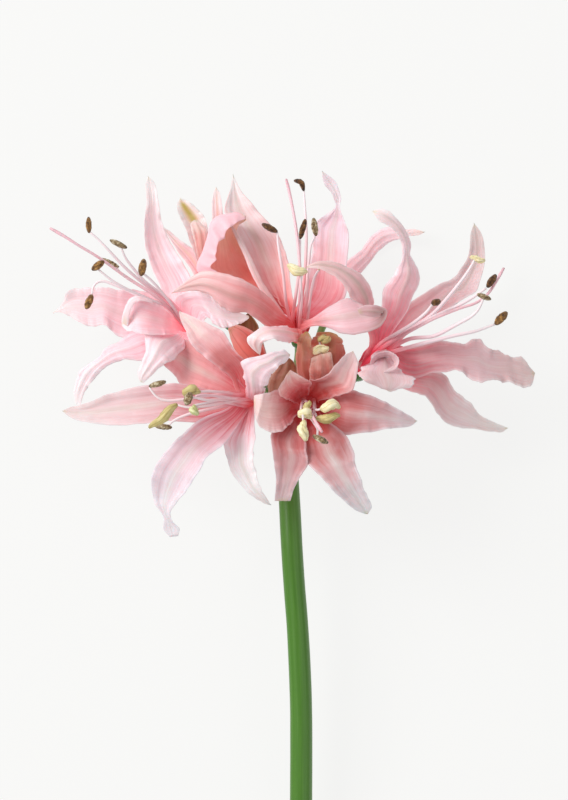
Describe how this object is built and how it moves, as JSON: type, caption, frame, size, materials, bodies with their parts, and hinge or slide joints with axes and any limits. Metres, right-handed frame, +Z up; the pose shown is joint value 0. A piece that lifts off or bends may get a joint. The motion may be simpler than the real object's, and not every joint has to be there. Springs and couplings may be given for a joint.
{
  "type": "cut nerine umbel (guernsey lily)",
  "caption": "Cut flower lying down: bare green scape with an umbel of pink florets, narrow recurved wavy petals and long stamens.",
  "frame": {"origin": "middle of the footprint, on the surface that the flower lies on", "axes": "+Y along the scape towards the umbel, +Z up, out of the front of the umbel, +X across"},
  "size_m": [0.1824, 0.3358, 0.0827],
  "materials": {
    "scape": "smooth waxy green stem skin",
    "bract": "dried papery spathe bract",
    "bud": "coral red unopened perianth on a green ovary",
    "pedicel": "green pedicel and glossy ovary",
    "stamen": "white filaments with brown and cream anthers",
    "style": "pink style",
    "tepal_pale": "pale blush petal, coral at the throat",
    "tepal_rose": "rose petal, red at the throat, fine veins",
    "tepal_dusty": "dusty rose petal, deep red at the throat",
    "tepal_bud": "brownish salmon half-open petal"
  },
  "bodies": {
    "root": {"A_pedicel_ovary": "pedicel", "A_pistil": "style", "A_stamens": "stamen", "A_tepal_front": "tepal_pale", "A_tepal_left": "tepal_pale", "A_tepal_low": "tepal_pale", "A_tepal_right": "tepal_pale", "A_tepal_under": "tepal_pale", "A_tepal_up": "tepal_pale", "B_pedicel_ovary": "pedicel", "B_pistil": "style", "B_stamens": "stamen", "B_tepal_curl": "tepal_rose", "B_tepal_hood": "tepal_rose", "B_tepal_left": "tepal_rose", "B_tepal_low": "tepal_rose", "B_tepal_right": "tepal_rose", "B_tepal_up": "tepal_rose", "C_pedicel_ovary": "pedicel", "C_pistil": "style", "C_stamens": "stamen", "C_tepal_arch": "tepal_dusty", "C_tepal_front": "tepal_dusty", "C_tepal_low": "tepal_dusty", "C_tepal_right": "tepal_dusty", "C_tepal_up": "tepal_dusty", "C_tepal_upright": "tepal_dusty", "D_pedicel_ovary": "pedicel", "D_pistil": "style", "D_stamens": "stamen", "D_tepal_down": "tepal_pale", "D_tepal_downleft": "tepal_pale", "D_tepal_front": "tepal_pale", "D_tepal_left": "tepal_pale", "D_tepal_up": "tepal_pale", "D_tepal_upleft": "tepal_pale", "E_pedicel_ovary": "pedicel", "E_pistil": "style", "E_stamens": "stamen", "E_tepal_downleft": "tepal_dusty", "E_tepal_downright": "tepal_dusty", "E_tepal_left": "tepal_dusty", "E_tepal_right": "tepal_dusty", "E_tepal_upleft": "tepal_dusty", "E_tepal_upright": "tepal_dusty", "F_pedicel_ovary": "pedicel", "F_tepal_front": "tepal_bud", "F_tepal_left": "tepal_bud", "F_tepal_right": "tepal_bud", "G_pedicel_ovary": "pedicel", "G_tepal_hood": "tepal_rose", "G_tepal_left": "tepal_rose", "G_tepal_lip": "tepal_rose", "G_tepal_tip": "tepal_rose", "H_pedicel_ovary": "pedicel", "H_tepal_arch": "tepal_rose", "bract_back": "bract", "bract_front": "bract", "floret_I_bud": "bud", "scape": "scape"}
  },
  "joints": []
}
